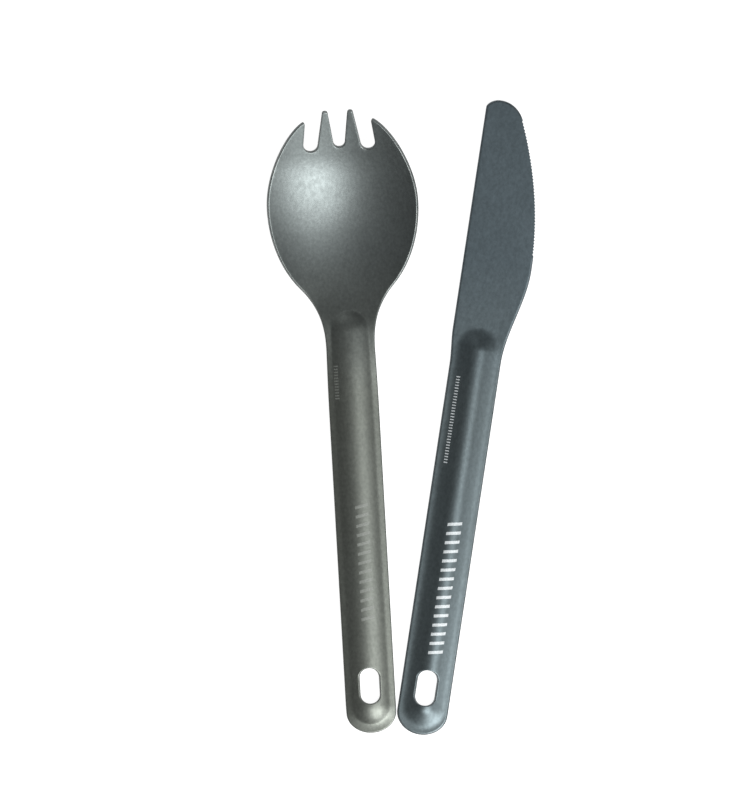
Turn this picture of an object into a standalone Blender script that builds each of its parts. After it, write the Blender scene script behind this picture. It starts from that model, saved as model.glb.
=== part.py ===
"""Picnic cutlery: a pressed aluminium spork and a pressed aluminium table knife.

Each piece is one stamping.  A flat blank is cut from sheet, a hollow rib is pressed up
along its handle, and the spork's bowl is pressed down.  The two lie side by side on a
table, their heads leaning apart.  Metres, +Z up; the origin is the middle of the
footprint, on the table.  In a piece's own frame X runs across the handle and Y runs from
the handle's end to the tip.  Slopes are rise over run.
"""
import math

import bmesh
import bpy
from mathutils import Vector
from mathutils.geometry import delaunay_2d_cdt, intersect_point_line

# Both pieces
SHEET = 0.0012                     # thickness of the sheet
EASE = 0.0003                      # width of the broken edge along every cut
SLOT_CENTRE = 0.0132               # from the handle's end
SLOT_LENGTH = 0.0099
SLOT_WIDTH = 0.0052
RIB_START = 0.0077                 # where the rib's centre line starts

# Spork
SPORK_HALF_WIDTH = 0.00674
SPORK_END_DEPTH = 0.0056           # the rounded end of the handle, along the handle
SPORK_RIB_STOP = 0.1129            # where the rib's centre line stops
SPORK_NECK = 0.107                 # the handle's straight sides stop here
SHOULDER = 0.1251                  # the neck's curve meets the bowl's ellipse here
BOWL_CENTRE = 0.1478
BOWL_HALF_WIDTH = 0.02134
BOWL_REAR = 0.0290
BOWL_FRONT = (0.0115, (0.01351, 0.17028))   # handle and third corner of the front's curve
DISH_CURVATURE = 25.5              # across the bowl, one over metres
DISH_FADE = (0.090, 0.128)         # the dish grows from nothing between these

# Pairs of distance and slope, straight in between
SPORK_SPINE = ((0.0, 0.0241), (0.100, 0.0339), (0.112, -0.0506), (0.118, -0.278),
               (0.128, -0.092), (0.140, 0.076), (0.156, 0.361), (0.163, 0.599), (0.176, 0.635))
SPORK_RIB = ((0.0, 0.0), (0.0044, 0.56), (0.0054, 0.0))
SPORK_FLANGE = ((0.0044, 0.0), (0.0056, 0.315))
FLANGE_FADE = (-0.003, 0.009)      # the flange flattens out towards the handle's end

# Corners of the tines on the right: across, along and the radius that rounds them
OUTER_TINE = (0.00935, 0.1720, 0.00040)
OUTER_GAP = ((0.01052, 0.16362, 0.00205), (0.00638, 0.16362, 0.00205))
INNER_TINE = ((0.00427, 0.17452, 0.00070), (0.00280, 0.17452, 0.00070))
MIDDLE_GAP = (0.00146, 0.16458, 0.00158)

# Knife
KNIFE_HALF_WIDTH = 0.0071
KNIFE_END_DEPTH = 0.0062
KNIFE_RIB_STOP = 0.1087
KNIFE_RIB = ((0.0, 0.0), (0.0016, 0.48), (0.0042, 0.38), (0.0065, 0.0))
KNIFE_RIB_SHIFT = 0.00030          # its rib runs this far to the right of the middle
BLADE_NECK = 0.106
BELLY = 0.133                      # the blade is widest from here
BELLY_HALF_WIDTH = 0.01170
BELLY_STRAIGHT = 0.1340            # the cutting edge starts to curve here
EDGE_RADIUS = 0.094
TEETH = (0.1372, 0.1743)           # the serrated stretch, up to the rounded tip
TOOTH_PITCH = 0.00088
TOOTH_DEPTH = 0.00030
GRIND_WIDTH = 0.0020
GRIND_FADE = 0.0040                # the grind runs out over this length at each end
EDGE_THICKNESS = 0.00045
TIP = (-0.0038, 0.1790)
TIP_HANDLES = (0.0029, 0.0030, 0.0024, 0.0008)   # lengths of the tip's curve handles
BACK_HALF_WIDTH = 0.0077
BACK_CORNER = 0.1766
BACK_STEP = (0.104, 0.114)         # the back of the blade steps out between these

# Where the handles' ends lie, and how far each head leans from +Y
SPORK_END = (-0.00785, -0.08828)
SPORK_LEAN = math.radians(3.24)
KNIFE_END = (0.00520, -0.08878)
KNIFE_LEAN = math.radians(-8.60)

# Mesh
ROUND_STEPS = 8                    # chords in a quarter turn
FINE = 0.0012                      # spacing of the points that carry a rib's round end
COARSE = 0.0030                    # and of those along its straight middle
BOWL_GRID = 0.0019
CLEARANCE = 0.0007                 # between the inner points and a cut edge
RIB_END_REACH = 0.0068             # the fine points go this far past a rib's centre line
SPORK_RIB_LINES = (0.0012, 0.0024, 0.0035, 0.0044, 0.0049, 0.0055)
KNIFE_RIB_LINES = (0.0010, 0.0020, 0.0032, 0.0043, 0.0051, 0.0059, 0.0066)

SPORK_COLOUR = (0.105, 0.110, 0.104)
KNIFE_COLOUR = (0.078, 0.096, 0.106)


def climb(profile, distance):
    """Height gained from the profile's start, with its last slope kept past its end."""
    height = 0.0
    for (start, slope), (stop, next_slope) in zip(profile, profile[1:]):
        run = min(distance, stop) - start
        if run <= 0:
            return height
        reached = slope + (next_slope - slope) * run / (stop - start)
        height += run * (slope + reached) / 2
    stop, slope = profile[-1]
    return height + max(0.0, distance - stop) * slope


def smooth(span, value):
    """0 before the span, 1 after it, and an S curve between."""
    part = min(1.0, max(0.0, (value - span[0]) / (span[1] - span[0])))
    return part * part * (3 - 2 * part)


def off_rib_line(x, y, stop):
    """Distance from the centre line that the rib is pressed around."""
    along = min(max(y, RIB_START), stop)
    return math.hypot(x, y - along)


def spork_form(x, y):
    """Height of the spork's underside over the flat blank."""
    away = off_rib_line(x, y, SPORK_RIB_STOP)
    rib = climb(SPORK_RIB, SPORK_RIB[-1][0]) - climb(SPORK_RIB, away)
    bowl = smooth(DISH_FADE, y)
    droop = climb(SPORK_FLANGE, away) * (1 - bowl) * smooth(FLANGE_FADE, y)
    dish = 0.5 * DISH_CURVATURE * x * x * bowl
    return climb(SPORK_SPINE, y) + rib - droop + dish


def knife_form(x, y):
    """Height of the knife's underside: flat, but for the rib."""
    away = off_rib_line(x - KNIFE_RIB_SHIFT, y, KNIFE_RIB_STOP)
    return climb(KNIFE_RIB, KNIFE_RIB[-1][0]) - climb(KNIFE_RIB, away)


def steps(start, stop, step):
    """Evenly spaced values from start to stop, about a step apart."""
    count = max(1, round(abs(stop - start) / step))
    return [start + (stop - start) * index / count for index in range(count + 1)]


def upright(x, start, stop, step):
    """Points up or down a side, without its two ends."""
    return [(x, y) for y in steps(start, stop, step)[1:-1]]


def hermite(start, stop, slope_at_stop, step):
    """A curve x(y) that leaves start straight along Y and meets stop at the given slope."""
    span = stop[1] - start[1]
    points = []
    for y in steps(start[1], stop[1], step):
        part = (y - start[1]) / span
        blend = part * part * (3 - 2 * part)
        lift = part * part * (part - 1) * slope_at_stop * span
        points.append((start[0] + (stop[0] - start[0]) * blend + lift, y))
    return points


def bezier(corners, count=ROUND_STEPS):
    """A cubic curve through the four corners' first and last, without its first point."""
    points = []
    for part in steps(0, 1, 1 / count)[1:]:
        rest = 1 - part
        weights = (rest ** 3, 3 * rest ** 2 * part, 3 * rest * part ** 2, part ** 3)
        points.append(tuple(sum(w * c[axis] for w, c in zip(weights, corners)) for axis in (0, 1)))
    return points


def arc(centre, spoke, sweep):
    """Points on a circle, from the spoke's end round by the sweep, anticlockwise."""
    count = max(3, round(ROUND_STEPS * abs(sweep) / (math.pi / 2)))
    points = []
    for index in range(count + 1):
        cos, sin = math.cos(sweep * index / count), math.sin(sweep * index / count)
        points.append((centre.x + spoke.x * cos - spoke.y * sin,
                       centre.y + spoke.x * sin + spoke.y * cos))
    return points


def rounded(before, corners, after):
    """The corners, each as an arc of its own radius, between two neighbouring points."""
    path = [Vector(point[:2]) for point in (before, *corners, after)]
    points = []
    for previous, corner, following, (_, _, radius) in zip(path, path[1:], path[2:], corners):
        back = (previous - corner).normalized()
        ahead = (following - corner).normalized()
        half = back.angle(ahead) / 2
        centre = corner + (back + ahead).normalized() * radius / math.sin(half)
        first = corner + back * radius / math.tan(half) - centre
        last = corner + ahead * radius / math.tan(half) - centre
        points += arc(centre, first, -first.angle_signed(last))
    return points


def mirrored(points):
    """The same points on the other side, in the opposite order."""
    return [(-x, y) for x, y in reversed(points)]


def handle_end(half_width, depth):
    """The right half of the handle's elliptical end, from its tip to its side."""
    angles = steps(0, math.pi / 2, math.pi / 2 / ROUND_STEPS)
    return [(half_width * math.sin(angle), depth * (1 - math.cos(angle))) for angle in angles]


def slot_outline():
    """The hanging slot: two half circles joined by straight sides."""
    radius = SLOT_WIDTH / 2
    reach = SLOT_LENGTH / 2 - radius
    upper = arc(Vector((0, SLOT_CENTRE + reach)), Vector((radius, 0)), math.pi)
    lower = arc(Vector((0, SLOT_CENTRE - reach)), Vector((-radius, 0)), math.pi)
    return upper + lower


def bowl_side():
    """The right side of the bowl's outline, from past the shoulder to the outer tine."""
    points = []
    for y in steps(SHOULDER, BOWL_CENTRE, BOWL_GRID)[1:]:
        points.append((BOWL_HALF_WIDTH * math.sqrt(1 - ((BOWL_CENTRE - y) / BOWL_REAR) ** 2), y))
    rise, third = BOWL_FRONT
    tip = OUTER_TINE[:2]
    front = (points[-1], (BOWL_HALF_WIDTH, BOWL_CENTRE + rise), third, tip)
    return points + bezier(front, round((tip[1] - BOWL_CENTRE) / BOWL_GRID))[:-1]


def spork_outline():
    """The spork's blank, anticlockwise from the handle's end."""
    back = (BOWL_CENTRE - SHOULDER) / BOWL_REAR
    shoulder = (BOWL_HALF_WIDTH * math.sqrt(1 - back ** 2), SHOULDER)
    flare = BOWL_HALF_WIDTH ** 2 * back / BOWL_REAR / shoulder[0]
    side = handle_end(SPORK_HALF_WIDTH, SPORK_END_DEPTH)
    side += upright(SPORK_HALF_WIDTH, SPORK_END_DEPTH, SPORK_NECK, COARSE)
    side += hermite((SPORK_HALF_WIDTH, SPORK_NECK), shoulder, flare, FINE)
    side += bowl_side()
    right = [OUTER_TINE, *OUTER_GAP, *INNER_TINE, MIDDLE_GAP]
    left = [(-x, y, radius) for x, y, radius in reversed(right)]
    tines = rounded(side[-1], right + left, mirrored(side)[0])
    return side + tines + mirrored(side)[:-1]


def cutting_edge(y):
    """Across the blade to the cutting edge, before its teeth are ground."""
    run = max(0.0, y - BELLY_STRAIGHT)
    return BELLY_HALF_WIDTH - run ** 2 / (2 * EDGE_RADIUS)


def serrated_edge():
    """The cutting edge from the belly to the tip, with its teeth."""
    points = [(cutting_edge(y), y) for y in steps(BELLY, TEETH[0], COARSE)[1:]]
    crests = steps(*TEETH, TOOTH_PITCH)
    for low, high in zip(crests, crests[1:]):
        valley = (low + high) / 2
        points += [(cutting_edge(valley) - TOOTH_DEPTH, valley), (cutting_edge(high), high)]
    return points


def knife_outline():
    """The knife's blank, anticlockwise from the handle's end."""
    end = handle_end(KNIFE_HALF_WIDTH, KNIFE_END_DEPTH)
    right = upright(KNIFE_HALF_WIDTH, KNIFE_END_DEPTH, BLADE_NECK, COARSE)
    right += hermite((KNIFE_HALF_WIDTH, BLADE_NECK), (BELLY_HALF_WIDTH, BELLY), 0, COARSE)
    right += serrated_edge()
    nose = right[-1]
    corner = (-BACK_HALF_WIDTH, BACK_CORNER)
    slant = (TEETH[1] - BELLY_STRAIGHT) / EDGE_RADIUS
    rise, before, after, fall = TIP_HANDLES
    tip = bezier((nose, (nose[0] - rise * slant, nose[1] + rise), (TIP[0] + before, TIP[1]), TIP))
    tip += bezier((TIP, (TIP[0] - after, TIP[1]), (corner[0], corner[1] + fall), corner))
    back = upright(-BACK_HALF_WIDTH, BACK_CORNER, BACK_STEP[1], 3 * COARSE)
    back += mirrored(hermite((KNIFE_HALF_WIDTH, BACK_STEP[0]), (BACK_HALF_WIDTH, BACK_STEP[1]), 0, COARSE))
    back += upright(-KNIFE_HALF_WIDTH, BACK_STEP[0], KNIFE_END_DEPTH, COARSE)
    return end + right + tip + back + mirrored(end)[:-1]


def inside(point, loop):
    """Whether the point is within the closed loop."""
    x, y = point
    crossings = 0
    for (x0, y0), (x1, y1) in zip(loop, loop[1:] + loop[:1]):
        if (y0 > y) != (y1 > y) and x < x0 + (x1 - x0) * (y - y0) / (y1 - y0):
            crossings += 1
    return crossings % 2 == 1


def clear_of(point, loop):
    """Whether the point keeps its clearance to every side of the closed loop."""
    point = Vector(point)
    for start, stop in zip(loop, loop[1:] + loop[:1]):
        nearest, part = intersect_point_line(point, Vector(start), Vector(stop))
        if part < 0:
            nearest = Vector(start)
        if part <= 1 and (nearest.xy - point).length < CLEARANCE:
            return False
    return True


def lattice(across, along):
    """Crossing points of lines across and along the piece."""
    return [(x, y) for y in along for x in across]


def both_sides(offsets, middle=0.0):
    """The middle line and each offset to its left and right."""
    return [middle] + [middle + side * offset for offset in offsets for side in (-1, 1)]


def handle_lattice(rib_stop, lines, middle=0.0):
    """Points that carry the rib: close together round its ends, far apart between them."""
    across = both_sides(steps(FINE, 6 * FINE, FINE), middle)
    slot_top = SLOT_CENTRE + SLOT_LENGTH
    points = lattice(across, steps(FINE, slot_top - 2 * FINE, FINE))
    points += lattice(both_sides(lines, middle), steps(slot_top, rib_stop - COARSE, COARSE))
    points += lattice(across, steps(rib_stop - FINE, rib_stop + RIB_END_REACH, FINE))
    return points


def fill(outline, slot, points):
    """Triangles that fill the outline around the slot, through the points that have room."""
    inner = [point for point in points if inside(point, outline) and not inside(point, slot)
             and clear_of(point, outline) and clear_of(point, slot)]
    edges = []
    for first, loop in ((0, outline), (len(outline), slot)):
        edges += [(first + index, first + (index + 1) % len(loop)) for index in range(len(loop))]
    spots = [Vector(point) for point in outline + slot + inner]
    spots, _, triangles, _, _, _ = delaunay_2d_cdt(spots, edges, [], 1, 1e-7)
    kept = []
    for triangle in triangles:
        middle = sum((spots[index] for index in triangle), Vector((0, 0))) / 3
        if not inside(middle, slot):
            kept.append(tuple(triangle))
    return [tuple(spot) for spot in spots], kept


def rim_edges(triangles):
    """The directed edges that only one triangle has."""
    directed = {(a, b) for tri in triangles for a, b in zip(tri, tri[1:] + tri[:1])}
    return sorted((a, b) for a, b in directed if (b, a) not in directed)


def pressed(form, x, y, height):
    """A point at a height within the flat sheet, after the sheet is pressed to the form."""
    step = SHEET / 20
    rise_x = (form(x + step, y) - form(x - step, y)) / (2 * step)
    rise_y = (form(x, y + step) - form(x, y - step)) / (2 * step)
    normal = Vector((-rise_x, -rise_y, 1)).normalized()
    return Vector((x, y, form(x, y))) + normal * height


def press(name, outline, points, form, thickness):
    """One stamping as a mesh: the blank's two faces pressed to the form, and its cut edges."""
    spots, triangles = fill(outline, slot_outline(), points)
    bm = bmesh.new()
    under = [bm.verts.new(pressed(form, x, y, SHEET - thickness(x, y))) for x, y in spots]
    upper = [bm.verts.new(pressed(form, x, y, SHEET)) for x, y in spots]
    for a, b, c in triangles:
        bm.faces.new((upper[a], upper[b], upper[c]))
        bm.faces.new((under[c], under[b], under[a]))
    broken = []
    for a, b in rim_edges(triangles):
        bm.faces.new((under[a], under[b], upper[b], upper[a]))
        if thickness(*spots[a]) == SHEET and thickness(*spots[b]) == SHEET:
            broken += [bm.edges.get((under[a], under[b])), bm.edges.get((upper[a], upper[b]))]
    bmesh.ops.bevel(bm, geom=broken, offset=EASE, segments=1, affect='EDGES', clamp_overlap=False)
    bmesh.ops.triangulate(bm, faces=bm.faces[:])
    mesh = bpy.data.meshes.new(name)
    bm.to_mesh(mesh)
    bm.free()
    mesh.shade_smooth()
    mesh.set_sharp_from_angle(angle=math.radians(35))
    return mesh


def full_sheet(x, y):
    """The spork is as thick as its sheet all over."""
    return SHEET


def ground_sheet(x, y):
    """The knife is as thick as its sheet, but is ground from below to a thin serrated edge."""
    depth = 1 - max(0.0, cutting_edge(y) - x) / GRIND_WIDTH
    run = min(y - TEETH[0], TEETH[1] - y)
    if depth <= 0 or run <= 0:
        return SHEET
    return SHEET - (SHEET - EDGE_THICKNESS) * depth * smooth((0, GRIND_FADE), run)


def spork_mesh():
    """The spork: a handle, a bowl and four tines."""
    points = handle_lattice(SPORK_RIB_STOP, SPORK_RIB_LINES)
    neck = SPORK_RIB_STOP + RIB_END_REACH
    points += lattice(both_sides((7 * FINE, 8 * FINE)), steps(neck - 2 * FINE, neck, FINE))
    bowl_lines = both_sides(steps(BOWL_GRID, BOWL_HALF_WIDTH, BOWL_GRID))
    points += lattice(bowl_lines, steps(neck + BOWL_GRID, INNER_TINE[0][1], BOWL_GRID))
    return press("spork", spork_outline(), points, spork_form, full_sheet)


def knife_mesh():
    """The knife: a handle and a flat blade, ground along its serrated edge."""
    points = handle_lattice(KNIFE_RIB_STOP, KNIFE_RIB_LINES, KNIFE_RIB_SHIFT)
    grind = steps(TEETH[0] - TOOTH_PITCH, TEETH[1] - GRIND_WIDTH / 2, 2 * TOOTH_PITCH)
    points += [(cutting_edge(y) - GRIND_WIDTH, y) for y in grind]
    quarter = BACK_HALF_WIDTH / 2
    points += lattice(both_sides((quarter,)), steps(BACK_STEP[1] + quarter, TEETH[1] - quarter, 3 * quarter))
    return press("knife", knife_outline(), points, knife_form, ground_sheet)


def anodised(name, colour):
    """Hard-anodised aluminium."""
    material = bpy.data.materials.new(name)
    material.use_nodes = True
    shader = material.node_tree.nodes["Principled BSDF"]
    shader.inputs["Base Color"].default_value = (*colour, 1)
    shader.inputs["Metallic"].default_value = 0.8
    shader.inputs["Roughness"].default_value = 0.45
    return material


def lay_down(mesh, material, end, lean):
    """Put a stamping on the table, with the end of its handle at the given place."""
    mesh.materials.append(material)
    piece = bpy.data.objects.new(mesh.name, mesh)
    bpy.context.scene.collection.objects.link(piece)
    lowest = min(vertex.co.z for vertex in mesh.vertices)
    piece.location = (*end, -lowest)
    piece.rotation_euler = (0, 0, lean)


for item in list(bpy.data.objects):
    bpy.data.objects.remove(item, do_unlink=True)
lay_down(spork_mesh(), anodised("anodised_spork", SPORK_COLOUR), SPORK_END, SPORK_LEAN)
lay_down(knife_mesh(), anodised("anodised_knife", KNIFE_COLOUR), KNIFE_END, KNIFE_LEAN)
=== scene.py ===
"""Looks for the picnic cutlery: a spork and a table knife in hard-anodised aluminium.

Each piece is built again at a finer grain than the CAD, by the same forming steps: a flat
blank is cut, its edges are rounded and it is pressed to its form.  Metres, +Z up.  In a
piece's own frame X runs across the handle and Y runs from the handle's end to the tip.
Slopes are rise over run.  A span is a pair of values, from and to.
"""
import math

import bpy
import numpy as np
from mathutils import Matrix, Vector
from mathutils.geometry import delaunay_2d_cdt


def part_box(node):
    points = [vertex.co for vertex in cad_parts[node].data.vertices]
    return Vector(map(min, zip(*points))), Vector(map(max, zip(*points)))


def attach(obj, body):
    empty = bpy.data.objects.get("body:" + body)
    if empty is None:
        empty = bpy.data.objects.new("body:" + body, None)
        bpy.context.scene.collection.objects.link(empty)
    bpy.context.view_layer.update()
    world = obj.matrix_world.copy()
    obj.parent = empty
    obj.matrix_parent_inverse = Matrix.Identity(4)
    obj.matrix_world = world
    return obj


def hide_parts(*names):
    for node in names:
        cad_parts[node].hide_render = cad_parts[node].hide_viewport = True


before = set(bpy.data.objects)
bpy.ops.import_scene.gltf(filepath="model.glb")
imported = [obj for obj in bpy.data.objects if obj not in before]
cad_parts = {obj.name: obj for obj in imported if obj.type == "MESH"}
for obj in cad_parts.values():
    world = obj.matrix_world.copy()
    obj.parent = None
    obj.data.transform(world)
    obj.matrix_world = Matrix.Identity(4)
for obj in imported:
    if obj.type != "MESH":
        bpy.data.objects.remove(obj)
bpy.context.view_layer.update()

# Both pieces
SHEET = 0.0012                     # thickness of the sheet
SLOT_CENTRE = 0.0132               # from the handle's end
SLOT_LENGTH = 0.0099
SLOT_WIDTH = 0.0052
SLOT_ROUNDING = 0.00023
RIB_START = 0.0077                 # where the rib's centre line starts

# Spork
SPORK_HALF_WIDTH = 0.00674         # of the handle
SPORK_END_DEPTH = 0.0056           # of the handle's elliptical end
SPORK_RIB_STOP = 0.1129            # where the rib's centre line stops
SPORK_NECK = 0.107                 # the sides flare out from here
SHOULDER = 0.1251                  # and join the bowl's oval here
BOWL_CENTRE = 0.1478
BOWL_HALF_WIDTH = 0.02134
BOWL_REAR = 0.0290                 # the oval's reach towards the handle
BOWL_FRONT = (0.0115, (0.01351, 0.17028))   # handle and third corner of the front's curve
DISH_CURVATURE = 25.5              # of the bowl from side to side, per metre
DISH_FADE = (0.090, 0.128)         # the dish grows in over this span

# Pairs of distance and slope, straight in between
SPORK_SPINE = ((0.0, 0.0241), (0.100, 0.0339), (0.112, -0.0506), (0.118, -0.278),
               (0.128, -0.092), (0.140, 0.076), (0.156, 0.361), (0.163, 0.599), (0.176, 0.635))
SPORK_RIB = ((0.0, 0.0), (0.0044, 0.56), (0.0054, 0.0))
SPORK_FLANGE = ((0.0044, 0.0), (0.0056, 0.315))
FLANGE_FADE = (-0.003, 0.009)      # the flange flattens out towards the handle's end

# Corners of the tines on the right: across, along and the radius that rounds them
OUTER_TINE = (0.00935, 0.1720, 0.00040)
OUTER_GAP = ((0.01052, 0.16362, 0.00205), (0.00638, 0.16362, 0.00205))
INNER_TINE = ((0.00427, 0.17452, 0.00070), (0.00280, 0.17452, 0.00070))
MIDDLE_GAP = (0.00146, 0.16458, 0.00158)
SPORK_ROUNDING = (0.00030, 0.00020)   # of the cut edges, on the handle and bowl and on the tines
TINE_FADE = (0.158, 0.166)         # the rounding changes over this span

# Knife
KNIFE_HALF_WIDTH = 0.0071          # of the handle
KNIFE_END_DEPTH = 0.0062
KNIFE_RIB_STOP = 0.1087
KNIFE_RIB = ((0.0, 0.0), (0.0016, 0.48), (0.0042, 0.38), (0.0065, 0.0))
KNIFE_RIB_SHIFT = 0.00030          # its rib runs this far to the right of the middle
BLADE_NECK = 0.106                 # the edge side widens from here
BELLY = 0.133                      # and is widest here
BELLY_HALF_WIDTH = 0.01170
BELLY_STRAIGHT = 0.1340            # the cutting edge curves in from here
EDGE_RADIUS = 0.094                # at this radius
TEETH = (0.1372, 0.1743)           # the serrated span, along the blade
TOOTH_COUNT = 42
TOOTH_DEPTH = 0.00030
FLUTE_DEPTH = 0.00014              # of the groove that runs in from each tooth's valley
FLUTE_REACH = 0.0015
GRIND_WIDTH = 0.0020
GRIND_FADE = 0.0040                # the grind fades in and out over this much of the edge
EDGE_THICKNESS = 0.00045
TIP = (-0.0038, 0.1790)            # across and along
TIP_HANDLES = (0.0029, 0.0030, 0.0024, 0.0008)   # of the two curves that round it, in their order
BACK_HALF_WIDTH = 0.0077
BACK_CORNER = 0.1766               # the straight back ends here
BACK_STEP = (0.104, 0.114)         # the back steps out from the handle in this span
KNIFE_ROUNDING = (0.00052, 0.00008)   # of the cut edges, and of the teeth
TEETH_FADE = 0.0015                # the rounding changes over this much beside the teeth

# Marks etched into the crown and the left wall of each rib: plain bars and fine ticks
BAR = (0.00085, 0.0032, 0.0008)    # along, across and how far the far end of a bar is slanted
BAR_PITCH = 0.0026
TICK = (0.00030, 0.0011, 0.0)
TICK_PITCH = 0.00080
MARK_RISE = 0.000012               # above the sheet's face
MARK_ROOT = 0.000030               # and below it
KNIFE_BARS = (0.0010, 0.0235, 0.0598)     # across, and from and to along the handle
KNIFE_TICKS = (-0.0037, 0.0765, 0.1007)
SPORK_BARS = (0.0005, 0.0322, 0.0636)
SPORK_TICKS = (-0.0040, 0.0940, 0.1030)

# Where the end of each handle lies, and how far its head leans from +Y
SPORK_PLACE = ((-0.00785, -0.08828), math.radians(3.24))
KNIFE_PLACE = ((0.00520, -0.08878), math.radians(-8.60))

# Mesh
ROUND_STEPS = 14                   # chords in a quarter turn of an outline
RIM_STEPS = 4                      # and of a rounded edge
LOOP_STEP = 0.0008                 # along the rest of an outline
TOOTH_SAMPLES = 8                  # chords in a tooth
FINE = 0.00046                     # spacing of points where the form bends closely
COARSE = 0.0011                    # and along the plain stretch of a handle
BOWL_GRID = 0.00062                # on the bowl
BLADE_GRID = 0.0020                # on the flat of the blade
MARK_GRID = 0.00030                # on a mark

# Rows of points that carry the grooves lie this far in from the cutting edge
GROUND_ROWS = (0.00038, 0.00052, 0.00072, 0.00098, 0.0013, 0.0016, 0.0020, 0.0023)

GUARD = 0.00022                    # a ring of points this far inside the rounded edge
SLOT_REGION = 0.0240               # the handle is fine as far as this
NECK_REACH = 0.0075                # and this far to either side of its rib's far end
MITRE_LIMIT = 0.5                  # keeps the insets of sharp corners short
WELD = 1e-9                        # points nearer than this are one
CREASE = math.radians(35)          # a sharper bend than this shows as an edge

# Finish.  Colours are of the handle, of the head and of rubbed edges
SPORK_COLOURS = ((0.116, 0.125, 0.112), (0.105, 0.119, 0.118), (0.26, 0.27, 0.26))
KNIFE_COLOURS = ((0.084, 0.104, 0.110), (0.075, 0.097, 0.109), (0.22, 0.24, 0.25))
HEAD_BLEND = (0.095, 0.135)        # the handle's colour turns to the head's in this span
ANODISED_METALLIC = 0.85
ETCHED_METALLIC = 0.3
SPORK_ETCH = ((0.150, 0.160, 0.146), 0.5)     # colour and roughness
KNIFE_ETCH = ((0.44, 0.47, 0.48), 0.6)

# Patterns of noise: how far they stretch along the piece, their scale per metre and detail
CLOUDS = (1.5, 60, 3)
GRAIN = (1.3, 1300, 3)
RUBS = (3.0, 700, 3)
STREAKS = (3.0, 1100, 3)
PITS = (1.2, 1500, 3)
FROST = (1.0, 2600, 2)
NOISE_SPAN = (0.3, 0.7)            # most of the noise's values lie in here
RUBS_SPAN = (0.35, 0.65)           # narrower, so that the rubs are patchy

# What the patterns do: factors on the colour, amounts of the rubbed colour, and so on
CLOUD_SHADES = (0.93, 1.07)
GRAIN_SHADES = (0.88, 1.12)
FROST_SHADES = (0.80, 1.15)
RUBBED = (0.02, 0.40)
ROUGHNESS = (0.435, 0.485)
PIT_DEPTH = 0.000016               # of the bumps
PIT_STRENGTH = 0.6

# Studio.  A light is its place, the side of its soft box and its power; it faces the origin
KEY_LIGHT = ((0.271, -0.385, 0.603), 0.40, 10.2)
BACK_LIGHT = ((-0.25, 0.75, 0.40), 0.50, 0.9)
SKY = (0.078, 0.190)               # strength of the even light from the horizon and from overhead
FLOOR_HALF = 3.0
FLOOR_DROP = -0.00002              # just clear of the cutlery
FLOOR_COLOUR = (0.22, 0.22, 0.22)
FLOOR_ROUGHNESS = 0.9
FLOOR_GLOW = 0.96                  # its own light
CAMERA_HEIGHT = 5.0
CAMERA_SENSOR = 36                 # millimetres
VIEW_HEIGHT = 0.2268               # of the table that the camera's view takes in
VIEW_CENTRE = (-0.00798, 0.0035)
WHITE = (1, 1, 1)

# Sockets of Blender's mix node for a factor, two colours and the mixed colour
MIX_INPUTS = (0, 6, 7)
MIX_RESULT = 2


def climb(profile, distance):
    """Height gained from the profile's start, with its last slope kept past its end."""
    at, slope = np.array(profile).T
    gained = np.concatenate(([0.0], np.cumsum(np.diff(at) * (slope[1:] + slope[:-1]) / 2)))
    distance = np.maximum(distance, at[0])
    index = np.clip(np.searchsorted(at, distance) - 1, 0, None)
    reached = np.interp(distance, at, slope)
    return gained[index] + (distance - at[index]) * (slope[index] + reached) / 2


def smooth(span, value):
    """0 before the span, 1 after it, and an S curve between."""
    part = np.clip((value - span[0]) / (span[1] - span[0]), 0, 1)
    return part * part * (3 - 2 * part)


def off_rib_line(x, y, stop):
    """Distance from the centre line that the rib is pressed around."""
    return np.hypot(x, y - np.clip(y, RIB_START, stop))


def spork_form(x, y):
    """Height of the spork's underside over the flat blank."""
    away = off_rib_line(x, y, SPORK_RIB_STOP)
    rib = climb(SPORK_RIB, SPORK_RIB[-1][0]) - climb(SPORK_RIB, away)
    bowl = smooth(DISH_FADE, y)
    droop = climb(SPORK_FLANGE, away) * (1 - bowl) * smooth(FLANGE_FADE, y)
    return climb(SPORK_SPINE, y) + rib - droop + 0.5 * DISH_CURVATURE * x * x * bowl


def knife_form(x, y):
    """Height of the knife's underside: flat, but for the rib."""
    away = off_rib_line(x - KNIFE_RIB_SHIFT, y, KNIFE_RIB_STOP)
    return climb(KNIFE_RIB, KNIFE_RIB[-1][0]) - climb(KNIFE_RIB, away)


def pressed(form, spots, height):
    """Points at a height within the flat sheet, after the sheet is pressed to the form."""
    x, y = spots.T
    step = SHEET / 20
    rise_x = (form(x + step, y) - form(x - step, y)) / (2 * step)
    rise_y = (form(x, y + step) - form(x, y - step)) / (2 * step)
    normal = np.stack((-rise_x, -rise_y, np.ones_like(x)), axis=1)
    normal /= np.linalg.norm(normal, axis=1)[:, None]
    return np.stack((x, y, form(x, y)), axis=1) + normal * height[:, None]


def steps(start, stop, step):
    """Evenly spaced values from start to stop, about a step apart."""
    count = max(1, round(abs(stop - start) / step))
    return [start + (stop - start) * index / count for index in range(count + 1)]


def upright(x, start, stop):
    """Points up or down a side, without its two ends."""
    return [(x, y) for y in steps(start, stop, LOOP_STEP)[1:-1]]


def hermite(start, stop, slope_at_stop):
    """A curve x(y) that leaves start straight along Y and meets stop at the given slope."""
    span = stop[1] - start[1]
    points = []
    for y in steps(start[1], stop[1], LOOP_STEP):
        part = (y - start[1]) / span
        blend = part * part * (3 - 2 * part)
        lift = part * part * (part - 1) * slope_at_stop * span
        points.append((start[0] + (stop[0] - start[0]) * blend + lift, y))
    return points


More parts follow.
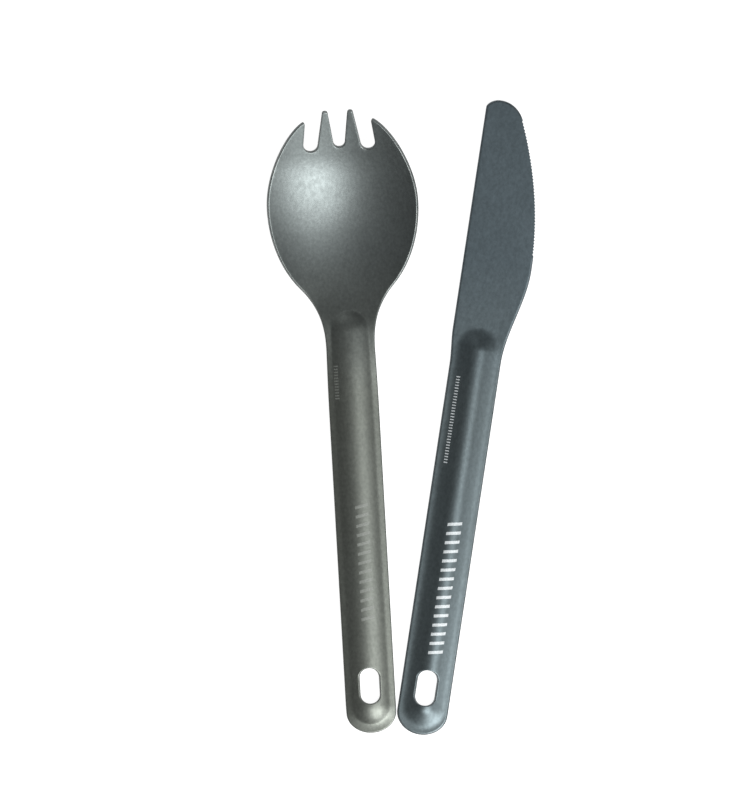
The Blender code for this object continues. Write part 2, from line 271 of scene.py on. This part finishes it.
def bezier(corners, count=ROUND_STEPS):
    """The cubic curve that the four corners give, without its first point."""
    points = []
    for part in steps(0, 1, 1 / count)[1:]:
        rest = 1 - part
        weights = (rest ** 3, 3 * rest ** 2 * part, 3 * rest * part ** 2, part ** 3)
        points.append(tuple(sum(w * c[axis] for w, c in zip(weights, corners)) for axis in (0, 1)))
    return points


def arc(centre, spoke, sweep):
    """Points on a circle, from the spoke's end round by the sweep, anticlockwise."""
    count = max(3, round(ROUND_STEPS * abs(sweep) / (math.pi / 2)))
    points = []
    for index in range(count + 1):
        cos, sin = math.cos(sweep * index / count), math.sin(sweep * index / count)
        points.append((centre.x + spoke.x * cos - spoke.y * sin,
                       centre.y + spoke.x * sin + spoke.y * cos))
    return points


def rounded(before, corners, after):
    """The corners, each as an arc of its own radius, between two neighbouring points."""
    path = [Vector(point[:2]) for point in (before, *corners, after)]
    points = []
    for previous, corner, following, (_, _, radius) in zip(path, path[1:], path[2:], corners):
        back = (previous - corner).normalized()
        ahead = (following - corner).normalized()
        half = back.angle(ahead) / 2
        centre = corner + (back + ahead).normalized() * radius / math.sin(half)
        first = corner + back * radius / math.tan(half) - centre
        last = corner + ahead * radius / math.tan(half) - centre
        swept = arc(centre, first, -first.angle_signed(last))
        if points:
            points += between(points[-1], swept[0])
        points += swept
    return points


def between(start, stop):
    """Points on the straight line between two others, without its ends."""
    count = max(1, round(math.dist(start, stop) / LOOP_STEP))
    return [tuple(start[axis] + (stop[axis] - start[axis]) * index / count for axis in (0, 1))
            for index in range(1, count)]


def mirrored(points):
    """The same points on the other side, in the opposite order."""
    return [(-x, y) for x, y in reversed(points)]


def handle_end(half_width, depth):
    """The right half of the handle's elliptical end, from its tip to its side."""
    angles = steps(0, math.pi / 2, math.pi / 2 / ROUND_STEPS)
    return [(half_width * math.sin(angle), depth * (1 - math.cos(angle))) for angle in angles]


def slot_outline():
    """The hanging slot: two half circles joined by straight sides."""
    radius = SLOT_WIDTH / 2
    reach = SLOT_LENGTH / 2 - radius
    upper = arc(Vector((0, SLOT_CENTRE + reach)), Vector((radius, 0)), math.pi)
    lower = arc(Vector((0, SLOT_CENTRE - reach)), Vector((-radius, 0)), math.pi)
    sides = between(upper[-1], lower[0]), between(lower[-1], upper[0])
    return upper + sides[0] + lower + sides[1]


def bowl_side():
    """The right side of the bowl's outline, from past the shoulder to the outer tine."""
    points = []
    for y in steps(SHOULDER, BOWL_CENTRE, LOOP_STEP)[1:]:
        points.append((BOWL_HALF_WIDTH * math.sqrt(1 - ((BOWL_CENTRE - y) / BOWL_REAR) ** 2), y))
    rise, third = BOWL_FRONT
    tip = OUTER_TINE[:2]
    corners = (points[-1], (BOWL_HALF_WIDTH, BOWL_CENTRE + rise), third, tip)
    front = bezier(corners, round((tip[1] - BOWL_CENTRE) / LOOP_STEP))
    return points + front[:-2]     # the last two are left to the rounding of the tine


def spork_outline():
    """The spork's blank, anticlockwise from the handle's end."""
    back = (BOWL_CENTRE - SHOULDER) / BOWL_REAR
    shoulder = (BOWL_HALF_WIDTH * math.sqrt(1 - back ** 2), SHOULDER)
    flare = BOWL_HALF_WIDTH ** 2 * back / BOWL_REAR / shoulder[0]
    side = handle_end(SPORK_HALF_WIDTH, SPORK_END_DEPTH)
    side += upright(SPORK_HALF_WIDTH, SPORK_END_DEPTH, SPORK_NECK)
    side += hermite((SPORK_HALF_WIDTH, SPORK_NECK), shoulder, flare)
    side += bowl_side()
    right = [OUTER_TINE, *OUTER_GAP, *INNER_TINE, MIDDLE_GAP]
    left = [(-x, y, radius) for x, y, radius in reversed(right)]
    tines = rounded(side[-1], right + left, mirrored(side)[0])
    return side + tines + mirrored(side)[:-1]


def cutting_edge(y):
    """Across the blade to the cutting edge, before its teeth are ground."""
    run = np.maximum(0.0, y - BELLY_STRAIGHT)
    return BELLY_HALF_WIDTH - run ** 2 / (2 * EDGE_RADIUS)


def scallop(y):
    """0 at the crest of each tooth and 1 in the valleys between them."""
    part = (y - TEETH[0]) / (TEETH[1] - TEETH[0]) * TOOTH_COUNT % 1.0
    return 1 - (2 * part - 1) ** 2


def serrated_edge():
    """The cutting edge from the belly to the tip, with its teeth."""
    points = [(cutting_edge(y), y) for y in steps(BELLY, TEETH[0], LOOP_STEP)[1:]]
    count = TOOTH_SAMPLES * TOOTH_COUNT
    for index in range(1, count + 1):
        y = TEETH[0] + (TEETH[1] - TEETH[0]) * index / count
        depth = TOOTH_DEPTH * scallop(y) if index % TOOTH_SAMPLES else 0.0
        points.append((cutting_edge(y) - depth, y))
    return points


def knife_outline():
    """The knife's blank, anticlockwise from the handle's end."""
    end = handle_end(KNIFE_HALF_WIDTH, KNIFE_END_DEPTH)
    right = upright(KNIFE_HALF_WIDTH, KNIFE_END_DEPTH, BLADE_NECK)
    right += hermite((KNIFE_HALF_WIDTH, BLADE_NECK), (BELLY_HALF_WIDTH, BELLY), 0)
    right += serrated_edge()
    nose = right[-1]
    corner = (-BACK_HALF_WIDTH, BACK_CORNER)
    slant = (TEETH[1] - BELLY_STRAIGHT) / EDGE_RADIUS
    rise, before, after, fall = TIP_HANDLES
    tip = bezier((nose, (nose[0] - rise * slant, nose[1] + rise), (TIP[0] + before, TIP[1]), TIP))
    tip += bezier((TIP, (TIP[0] - after, TIP[1]), (corner[0], corner[1] + fall), corner))
    back = upright(-BACK_HALF_WIDTH, BACK_CORNER, BACK_STEP[1])
    back += mirrored(hermite((KNIFE_HALF_WIDTH, BACK_STEP[0]), (BACK_HALF_WIDTH, BACK_STEP[1]), 0))
    back += upright(-KNIFE_HALF_WIDTH, BACK_STEP[0], KNIFE_END_DEPTH)
    return end + right + tip + back + mirrored(end)[:-1]


def full_sheet(x, y):
    """The spork is as thick as its sheet all over."""
    return np.full_like(x, SHEET)


def ground_sheet(x, y):
    """The knife is ground from below to a thin serrated edge, with a groove for each tooth."""
    slant = np.maximum(0.0, y - BELLY_STRAIGHT) / EDGE_RADIUS
    inset = np.maximum(0.0, cutting_edge(y) - x)
    run = np.minimum(y - TEETH[0], TEETH[1] - y)
    depth = np.clip(1 - inset / GRIND_WIDTH, 0, 1) * smooth((0, GRIND_FADE), run)
    foot = y + inset * slant / (1 + slant ** 2)
    flute = FLUTE_DEPTH * scallop(foot) * np.clip(1 - inset / FLUTE_REACH, 0, 1)
    return SHEET - (SHEET - EDGE_THICKNESS) * depth - flute * smooth((0, GRIND_FADE / 2), run)


def spork_rounding(x, y):
    """Radius of the spork's rounded edges."""
    return SPORK_ROUNDING[0] + (SPORK_ROUNDING[1] - SPORK_ROUNDING[0]) * smooth(TINE_FADE, y)


def knife_rounding(x, y):
    """Radius of the knife's rounded edges: only just broken along the teeth."""
    run = np.minimum(y - TEETH[0], TEETH[1] - y)
    toothed = smooth((-TEETH_FADE, 0), run) * (x > 0)
    return KNIFE_ROUNDING[0] + (KNIFE_ROUNDING[1] - KNIFE_ROUNDING[0]) * toothed


def slot_rounding(x, y):
    """Radius of the hanging slot's rounded edges."""
    return np.full_like(x, SLOT_ROUNDING)


def inward(loop):
    """At each point of a loop, the direction into the metal on its left, for an offset of one."""
    ahead = np.roll(loop, -1, axis=0) - loop
    ahead /= np.linalg.norm(ahead, axis=1)[:, None]
    left = np.stack((-ahead[:, 1], ahead[:, 0]), axis=1)
    mitre = left + np.roll(left, 1, axis=0)
    return mitre / np.maximum(MITRE_LIMIT, (mitre * left).sum(axis=1))[:, None]


def inside(points, loop):
    """Which of the points are within the closed loop."""
    x, y = points.T
    crossings = np.zeros(len(points), int)
    for (x0, y0), (x1, y1) in zip(loop, np.roll(loop, -1, axis=0)):
        if y0 != y1:
            spans = (y0 > y) != (y1 > y)
            crossings += spans & (x < x0 + (x1 - x0) * (y - y0) / (y1 - y0))
    return crossings % 2 == 1


def clear_of(points, loop, room):
    """Which of the points keep the room that each side of the closed loop asks for."""
    clear = np.ones(len(points), bool)
    for start, stop, need in zip(loop, np.roll(loop, -1, axis=0), room):
        side = stop - start
        part = np.clip((points - start) @ side / (side @ side), 0, 1)
        nearest = start + part[:, None] * side
        clear &= np.hypot(*(points - nearest).T) > need
    return clear


def lattice(across, along):
    """Crossing points of lines across and along the piece."""
    x, y = np.meshgrid(across, along)
    return np.stack((x.ravel(), y.ravel()), axis=1)


def handle_lattice(half_width, rib_stop):
    """Points that carry the rib, and the round ends of it more closely."""
    across = steps(-half_width, half_width, FINE)
    along = steps(FINE, SLOT_REGION, FINE)
    along += steps(SLOT_REGION, rib_stop - NECK_REACH, COARSE)[1:]
    along += steps(rib_stop - NECK_REACH, rib_stop + NECK_REACH, FINE)[1:]
    return lattice(across, along)


def fill(loops, points):
    """Triangles between the outline and the slot, through the points."""
    edges = []
    first = 0
    for loop in loops:
        edges += [(first + index, first + (index + 1) % len(loop)) for index in range(len(loop))]
        first += len(loop)
    spots = np.concatenate([*loops, points])
    filled = delaunay_2d_cdt([Vector(spot) for spot in spots], edges, [], 1, WELD)
    origin = [sources[0] for sources in filled[3]]
    triangles = np.array([[origin[index] for index in face] for face in filled[2]])
    middle = spots[triangles].mean(axis=1)
    return spots, triangles[~inside(middle, loops[1])]


def rim_rings(loop, rounding, form, thickness):
    """The rounded cut edge, as rings of points from the upper face to the lower one."""
    into, radius = inward(loop), rounding(*loop.T)
    turns = steps(0, math.pi / 2, math.pi / 2 / RIM_STEPS)
    rings = []
    for turn, lower in [(turn, False) for turn in turns] + [(turn, True) for turn in turns[::-1]]:
        spots = loop + into * radius[:, None] * (1 - math.sin(turn))
        drop = radius * (1 - math.cos(turn))
        height = SHEET - thickness(*spots.T) + drop if lower else SHEET - drop
        rings.append(pressed(form, spots, height))
    return rings


def face_points(cuts, points):
    """The loops where a face meets its rounded edges, and the points to carry it between them."""
    insets, guards = [], []
    keep = inside(points, cuts[0][0]) & ~inside(points, cuts[1][0])
    for loop, rounding in cuts:
        into, radius = inward(loop), rounding(*loop.T)
        wide = radius > GUARD
        insets.append(loop + into * radius[:, None])
        guards.append((loop + into * (radius + GUARD)[:, None])[wide])
        keep &= clear_of(points, loop, np.where(wide, radius + 2 * GUARD, radius + GUARD / 3))
    return insets, np.concatenate([*guards, points[keep]])


def ring_faces(starts, size):
    """Quads from each closed ring of points to the next, given each ring's first point."""
    faces = []
    for upper, lower in zip(starts, starts[1:]):
        for index in range(size):
            following = (index + 1) % size
            faces.append((upper + following, upper + index, lower + index, lower + following))
    return faces


def new_mesh(name, points, faces):
    """A mesh of the points and faces."""
    mesh = bpy.data.meshes.new(name)
    mesh.from_pydata(points, [], faces)
    mesh.validate()
    return mesh


def mark_cut_edges(mesh, first):
    """An attribute of 1 on the rounded edges, whose points come last, and 0 on the faces."""
    flags = np.zeros(len(mesh.vertices), np.float32)
    flags[first:] = 1
    mesh.attributes.new("cut_edge", "FLOAT", "POINT").data.foreach_set("value", flags)


def press(name, cuts, points, form, thickness):
    """One stamping as a mesh: two faces pressed to the form, and rounded cut edges."""
    insets, filling = face_points(cuts, points)
    spots, triangles = fill(insets, filling)
    count = len(spots)
    parts = [pressed(form, spots, np.full(count, SHEET)),
             pressed(form, spots, SHEET - thickness(*spots.T))]
    faces = [tuple(face) for face in triangles]
    faces += [tuple(face[::-1] + count) for face in triangles]
    first, total = 0, 2 * count
    for loop, rounding in cuts:
        size = len(loop)
        rings = rim_rings(loop, rounding, form, thickness)[1:-1]
        starts = [total + size * index for index in range(len(rings))]
        faces += ring_faces([first, *starts, first + count], size)
        parts += rings
        first += size
        total += size * len(rings)
    mesh = new_mesh(name, np.concatenate(parts), faces)
    mark_cut_edges(mesh, 2 * count)
    mesh.shade_smooth()
    mesh.set_sharp_from_angle(angle=CREASE)
    return mesh


def spork_mesh():
    """The spork: a handle, a bowl and four tines."""
    points = handle_lattice(SPORK_HALF_WIDTH, SPORK_RIB_STOP)
    bowl = steps(-BOWL_HALF_WIDTH, BOWL_HALF_WIDTH, BOWL_GRID)
    neck = steps(SPORK_NECK, SPORK_RIB_STOP + NECK_REACH, BOWL_GRID)
    sides = lattice(bowl, neck)
    sides = sides[np.abs(sides[:, 0]) > SPORK_HALF_WIDTH + BOWL_GRID / 2]
    front = lattice(bowl, steps(neck[-1] + BOWL_GRID, INNER_TINE[0][1], BOWL_GRID))
    cuts = ((np.array(spork_outline()), spork_rounding),
            (np.array(slot_outline())[::-1], slot_rounding))
    points = np.concatenate((points, sides, front))
    return press("spork_stamping", cuts, points, spork_form, full_sheet)


def ground_rows():
    """Rows of points along the ground edge that carry its grooves."""
    y = np.linspace(*TEETH, TOOTH_SAMPLES * TOOTH_COUNT + 1)
    slant = (y - BELLY_STRAIGHT) / EDGE_RADIUS
    into = np.stack((-np.ones_like(y), -slant), axis=1) / np.hypot(1, slant)[:, None]
    edge = np.stack((cutting_edge(y), y), axis=1)
    return np.concatenate([edge + into * inset for inset in GROUND_ROWS])


def knife_mesh():
    """The knife: a handle and a flat blade, ground along its serrated edge."""
    points = handle_lattice(KNIFE_HALF_WIDTH, KNIFE_RIB_STOP)
    blade = lattice(steps(-BACK_HALF_WIDTH, BELLY_HALF_WIDTH, BLADE_GRID),
                    steps(KNIFE_RIB_STOP + NECK_REACH + BLADE_GRID, TIP[1], BLADE_GRID))
    ground = cutting_edge(blade[:, 1]) - blade[:, 0] < GROUND_ROWS[-1] + BLADE_GRID / 2
    toothed = (blade[:, 1] > TEETH[0]) & (blade[:, 1] < TEETH[1])
    points = np.concatenate((points, blade[~(ground & toothed)], ground_rows()))
    cuts = ((np.array(knife_outline()), knife_rounding),
            (np.array(slot_outline())[::-1], slot_rounding))
    return press("knife_stamping", cuts, points, knife_form, ground_sheet)


def mark_patch(centre, size, form):
    """A thin raised patch on the upper face: its points and its faces."""
    along, across, slant = size
    columns = steps(-across / 2, across / 2, MARK_GRID)
    rows = steps(-along / 2, along / 2, MARK_GRID)
    flat = np.array([(centre[0] + x, centre[1] + y + slant * x / across)
                     for y in rows for x in columns])
    upper = pressed(form, flat, np.full(len(flat), SHEET + MARK_RISE))
    lower = pressed(form, flat, np.full(len(flat), SHEET - MARK_ROOT))
    wide, tall, count = len(columns), len(rows), len(flat)
    faces = []
    for row in range(tall - 1):
        for column in range(wide - 1):
            corner = row * wide + column
            quad = (corner, corner + 1, corner + wide + 1, corner + wide)
            faces.append(quad)
            faces.append(tuple(count + index for index in reversed(quad)))
    border = list(range(wide)) + [row * wide + wide - 1 for row in range(1, tall)]
    border += [(tall - 1) * wide + column for column in range(wide - 2, -1, -1)]
    border += [row * wide for row in range(tall - 2, 0, -1)]
    for start, stop in zip(border, border[1:] + border[:1]):
        faces.append((stop, start, start + count, stop + count))
    return np.concatenate((upper, lower)), faces


def marks_mesh(name, bars, ticks, form):
    """A row of bars and a row of ticks, as one mesh."""
    points, faces, total = [], [], 0
    for (across, start, stop), size, pitch in ((bars, BAR, BAR_PITCH), (ticks, TICK, TICK_PITCH)):
        for along in steps(start, stop, pitch):
            patch, sides = mark_patch((across, along), size, form)
            points.append(patch)
            faces += [tuple(index + total for index in side) for side in sides]
            total += len(patch)
    return new_mesh(name, np.concatenate(points), faces)


def new_material(name, metallic):
    """A material, its node tree and its shader."""
    material = bpy.data.materials.new(name)
    material.use_nodes = True
    shader = material.node_tree.nodes["Principled BSDF"]
    shader.inputs["Metallic"].default_value = metallic
    return material, material.node_tree, shader


def add(tree, kind, **values):
    """A node, with its properties set, and its inputs where the name is an input's."""
    node = tree.nodes.new(kind)
    for key, value in values.items():
        if key in node.inputs:
            node.inputs[key].default_value = value
        else:
            setattr(node, key, value)
    return node


def ranged(tree, source, low, high, start=0.0, stop=1.0):
    """The source's output, mapped from start and stop to low and high."""
    node = add(tree, "ShaderNodeMapRange")
    for index, value in enumerate((start, stop, low, high)):
        node.inputs[index + 1].default_value = value
    tree.links.new(source, node.inputs[0])
    return node.outputs[0]


def noise(tree, spot, pattern):
    """Noise in the piece's own frame, stretched along its length."""
    stretch, scale, detail = pattern
    mapping = add(tree, "ShaderNodeMapping", Scale=(1, 1 / stretch, 1))
    tree.links.new(spot, mapping.inputs["Vector"])
    node = add(tree, "ShaderNodeTexNoise", Scale=scale, Detail=detail)
    tree.links.new(mapping.outputs["Vector"], node.inputs["Vector"])
    return node.outputs["Fac"]


def product(tree, first, second):
    """Two nodes' outputs, multiplied."""
    node = add(tree, "ShaderNodeMath", operation="MULTIPLY")
    tree.links.new(first, node.inputs[0])
    tree.links.new(second, node.inputs[1])
    return node.outputs[0]


def mixed(tree, factor, first, second, blend="MIX"):
    """Two colours mixed by a factor, each of them a value or another node's output."""
    node = add(tree, "ShaderNodeMix", data_type="RGBA", blend_type=blend)
    for index, value in zip(MIX_INPUTS, (factor, first, second)):
        socket = node.inputs[index]
        if isinstance(value, bpy.types.NodeSocket):
            tree.links.new(value, socket)
        elif socket.type == "RGBA":
            socket.default_value = (*value, 1)
        else:
            socket.default_value = value
    return node.outputs[MIX_RESULT]


def own_frame(tree, place):
    """Coordinates across and along a piece, from the end of its handle."""
    end, lean = place
    mapping = add(tree, "ShaderNodeMapping", vector_type="TEXTURE",
                  Location=(*end, 0), Rotation=(0, 0, lean))
    coordinates = tree.nodes.new("ShaderNodeTexCoord").outputs["Object"]
    tree.links.new(coordinates, mapping.inputs["Vector"])
    return mapping.outputs["Vector"]


def anodised(name, place, colours):
    """Hard-anodised aluminium: satin, finely grained, and rubbed lighter along its edges."""
    handle_colour, head_colour, rubbed_colour = colours
    material, tree, shader = new_material(name, ANODISED_METALLIC)
    spot = own_frame(tree, place)
    split = tree.nodes.new("ShaderNodeSeparateXYZ")
    tree.links.new(spot, split.inputs[0])
    headward = ranged(tree, split.outputs["Y"], 0, 1, *HEAD_BLEND)
    clouds = ranged(tree, noise(tree, spot, CLOUDS), *CLOUD_SHADES, *NOISE_SPAN)
    grain = ranged(tree, noise(tree, spot, GRAIN), *GRAIN_SHADES, *NOISE_SPAN)
    tone = mixed(tree, headward, handle_colour, head_colour)
    tone = mixed(tree, 1.0, tone, product(tree, clouds, grain), "MULTIPLY")
    edge = add(tree, "ShaderNodeAttribute", attribute_name="cut_edge").outputs["Fac"]
    rubs = ranged(tree, noise(tree, spot, RUBS), *RUBBED, *RUBS_SPAN)
    tone = mixed(tree, product(tree, edge, rubs), tone, rubbed_colour)
    tree.links.new(tone, shader.inputs["Base Color"])
    streaks = ranged(tree, noise(tree, spot, STREAKS), *ROUGHNESS, *NOISE_SPAN)
    tree.links.new(streaks, shader.inputs["Roughness"])
    bump = add(tree, "ShaderNodeBump", Strength=PIT_STRENGTH, Distance=PIT_DEPTH)
    tree.links.new(noise(tree, spot, PITS), bump.inputs["Height"])
    tree.links.new(bump.outputs["Normal"], shader.inputs["Normal"])
    return material


def etched(name, colour, roughness):
    """Bare metal where a mark was etched through the anodising, frosted and a little uneven."""
    material, tree, shader = new_material(name, ETCHED_METALLIC)
    spot = tree.nodes.new("ShaderNodeTexCoord").outputs["Object"]
    frost = ranged(tree, noise(tree, spot, FROST), *FROST_SHADES, *NOISE_SPAN)
    tree.links.new(mixed(tree, 1.0, colour, frost, "MULTIPLY"), shader.inputs["Base Color"])
    shader.inputs["Roughness"].default_value = roughness
    return material


def paper():
    """A plain pale floor, bright enough in itself to keep the shadows faint."""
    material, _, shader = new_material("pale_floor", 0.0)
    shader.inputs["Base Color"].default_value = (*FLOOR_COLOUR, 1)
    shader.inputs["Roughness"].default_value = FLOOR_ROUGHNESS
    shader.inputs["Emission Color"].default_value = (*WHITE, 1)
    shader.inputs["Emission Strength"].default_value = FLOOR_GLOW
    return material


def lay_down(mesh, material, body, place, height=None):
    """Put a piece in its place and return the height of its frame.

    A stamping comes without a height: it takes the place of its body's one CAD node and stands
    as low.  Marks come with the height that their stamping was given.
    """
    mesh.materials.append(material)
    piece = bpy.data.objects.new(mesh.name, mesh)
    bpy.context.scene.collection.objects.link(piece)
    if height is None:
        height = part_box(body)[0].z - min(vertex.co.z for vertex in mesh.vertices)
        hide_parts(body)
    end, lean = place
    mesh.transform(Matrix.Translation((*end, height)) @ Matrix.Rotation(lean, 4, "Z"))
    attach(piece, body)
    return height


def floor():
    """The table top under the cutlery."""
    half = FLOOR_HALF
    corners = [(-half, -half, 0), (half, -half, 0), (half, half, 0), (-half, half, 0)]
    mesh = new_mesh("floor", corners, [(0, 1, 2, 3)])
    mesh.materials.append(paper())
    plane = bpy.data.objects.new("floor", mesh)
    plane.location.z = FLOOR_DROP
    bpy.context.scene.collection.objects.link(plane)


def area_light(name, place, size, power):
    """A square soft box that faces the origin."""
    light = bpy.data.lights.new(name, "AREA")
    light.size = size
    light.energy = power
    box = bpy.data.objects.new(name, light)
    box.location = place
    box.rotation_euler = (-Vector(place)).to_track_quat("-Z", "Y").to_euler()
    bpy.context.scene.collection.objects.link(box)


def studio():
    """Even white light from all round, stronger from overhead."""
    world = bpy.data.worlds.new("studio")
    bpy.context.scene.world = world
    world.use_nodes = True
    tree = world.node_tree
    background = tree.nodes["Background"]
    background.inputs["Color"].default_value = (*WHITE, 1)
    split = tree.nodes.new("ShaderNodeSeparateXYZ")
    direction = tree.nodes.new("ShaderNodeTexCoord").outputs["Generated"]
    tree.links.new(direction, split.inputs[0])
    tree.links.new(ranged(tree, split.outputs["Z"], *SKY), background.inputs["Strength"])


def camera():
    """Straight down from high above, so that the view has almost no perspective."""
    lens = bpy.data.cameras.new("camera")
    lens.sensor_fit = "AUTO"
    lens.sensor_width = CAMERA_SENSOR
    lens.lens = CAMERA_SENSOR * CAMERA_HEIGHT / VIEW_HEIGHT
    lens.clip_start = CAMERA_HEIGHT / 50
    lens.clip_end = CAMERA_HEIGHT * 3
    view = bpy.data.objects.new("camera", lens)
    view.location = (*VIEW_CENTRE, CAMERA_HEIGHT)
    bpy.context.scene.collection.objects.link(view)
    bpy.context.scene.camera = view


camera()
studio()
area_light("key", *KEY_LIGHT)
area_light("back", *BACK_LIGHT)
floor()
bpy.context.scene.view_settings.view_transform = "Standard"

spork_metal = anodised("spork_metal", SPORK_PLACE, SPORK_COLOURS)
knife_metal = anodised("knife_metal", KNIFE_PLACE, KNIFE_COLOURS)
spork_height = lay_down(spork_mesh(), spork_metal, "spork", SPORK_PLACE)
knife_height = lay_down(knife_mesh(), knife_metal, "knife", KNIFE_PLACE)

spork_marks = marks_mesh("spork_marks", SPORK_BARS, SPORK_TICKS, spork_form)
knife_marks = marks_mesh("knife_marks", KNIFE_BARS, KNIFE_TICKS, knife_form)
spork_etch = etched("spork_etch", *SPORK_ETCH)
knife_etch = etched("knife_etch", *KNIFE_ETCH)
lay_down(spork_marks, spork_etch, "spork", SPORK_PLACE, spork_height)
lay_down(knife_marks, knife_etch, "knife", KNIFE_PLACE, knife_height)
